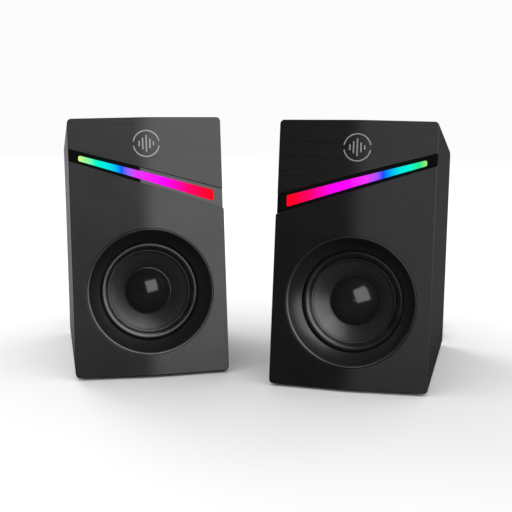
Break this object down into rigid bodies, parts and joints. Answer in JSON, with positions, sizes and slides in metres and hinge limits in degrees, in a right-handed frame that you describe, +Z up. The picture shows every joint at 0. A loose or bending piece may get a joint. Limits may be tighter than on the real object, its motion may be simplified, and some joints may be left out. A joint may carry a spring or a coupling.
{
  "type": "desktop speakers",
  "caption": "Pair of small backward-leaning desktop speakers with creased faces, diagonal light bars, single full-range drivers, rear volume knob, mode button and captive cables.",
  "frame": {"origin": "desk level, at the middle of the footprint of everything standing or lying on the desk", "axes": "+X to the listener's right along the pair, +Y away from the listener, +Z up"},
  "size_m": [0.2451, 0.2015, 0.1435],
  "materials": {
    "cabinet_plastic": "fine spark-eroded texture",
    "brushed_panel": "fine horizontal brushed lines, satin",
    "front_panel": "satin",
    "gloss_black": "high gloss",
    "light_diffuser": "lit from behind in a run of colours",
    "circuit_board": "solder mask",
    "satin_black": "satin",
    "foam": "closed cell",
    "black_steel": "satin",
    "plated_steel": "zinc plated",
    "ferrite": "ground",
    "rubber_roll": "smooth, slightly glossy",
    "spider_cloth": "resin-treated cloth",
    "screw_steel": "black zinc",
    "rubber_feet": "matt",
    "mark_print": "printed",
    "wire_insulation": "smooth",
    "cable_jacket": "satin",
    "cone_satin": "satin",
    "coil_copper": "lacquered copper on a former",
    "contact_metal": "nickel plated",
    "knob_plastic": "satin, fluted",
    "component_plastic": "moulded"
  },
  "bodies": {
    "main_speaker": {"main_cabinet_shell": "cabinet_plastic", "main_upper_panel": "brushed_panel", "main_lower_panel": "front_panel", "main_groove_strip": "gloss_black", "main_light_bar": "light_diffuser", "main_led_board": "circuit_board", "main_driver_bezel": "satin_black", "main_driver_gasket": "foam", "main_basket": "black_steel", "main_top_plate": "plated_steel", "main_magnet": "ferrite", "main_yoke": "plated_steel", "main_surround": "rubber_roll", "main_spider": "spider_cloth", "main_driver_screws": "screw_steel", "main_cover_screws": "screw_steel", "main_feet": "rubber_feet", "main_mark": "mark_print", "main_rear_cover": "cabinet_plastic", "main_driver_wires": "wire_insulation", "main_grommet": "cable_jacket", "amp_board": "circuit_board", "amp_parts": "component_plastic", "volume_pot": "plated_steel", "link_socket": "component_plastic", "input_cable": "cable_jacket", "usb_plug_shell": "contact_metal", "audio_plug_pin": "contact_metal"},
    "main_cone_assembly": {"main_cone": "cone_satin", "main_dust_cap": "gloss_black", "main_voice_coil": "coil_copper"},
    "volume_control": {"volume_knob": "knob_plastic", "pot_shaft": "plated_steel"},
    "mode_button_cap": {"mode_button": "knob_plastic"},
    "satellite_speaker": {"sat_cabinet_shell": "cabinet_plastic", "sat_upper_panel": "brushed_panel", "sat_lower_panel": "front_panel", "sat_groove_strip": "gloss_black", "sat_light_bar": "light_diffuser", "sat_led_board": "circuit_board", "sat_driver_bezel": "satin_black", "sat_driver_gasket": "foam", "sat_basket": "black_steel", "sat_top_plate": "plated_steel", "sat_magnet": "ferrite", "sat_yoke": "plated_steel", "sat_surround": "rubber_roll", "sat_spider": "spider_cloth", "sat_driver_screws": "screw_steel", "sat_cover_screws": "screw_steel", "sat_feet": "rubber_feet", "sat_mark": "mark_print", "sat_rear_cover": "cabinet_plastic", "sat_driver_wires": "wire_insulation", "sat_grommet": "cable_jacket", "link_cable": "cable_jacket", "link_plug_pin": "contact_metal"},
    "sat_cone_assembly": {"sat_cone": "cone_satin", "sat_dust_cap": "gloss_black", "sat_voice_coil": "coil_copper"}
  },
  "joints": [
    {"name": "main_cone_slide", "type": "slide", "parent": "main_speaker", "child": "main_cone_assembly", "axis": [-0.2342, -0.9577, 0.1675], "range_m": [-0.0015, 0.0015], "deforming": ["main_surround", "main_spider"]},
    {"name": "volume_turn", "type": "hinge", "parent": "main_speaker", "child": "volume_control", "pos_m": [0.06428, 0.03716, 0.08124], "axis": [0.2342, 0.9577, -0.1675], "range_deg": [-150, 150]},
    {"name": "mode_press", "type": "slide", "parent": "main_speaker", "child": "mode_button_cap", "axis": [-0.2342, -0.9577, 0.1675], "range_m": [0, 0.0008]},
    {"name": "satellite_spacing", "type": "slide", "parent": "main_speaker", "child": "satellite_speaker", "axis": [-1, 0, 0], "range_m": [0, 0.4]},
    {"name": "sat_cone_slide", "type": "slide", "parent": "satellite_speaker", "child": "sat_cone_assembly", "axis": [0.1927, -0.9669, 0.1675], "range_m": [-0.0015, 0.0015], "deforming": ["sat_surround", "sat_spider"]}
  ]
}
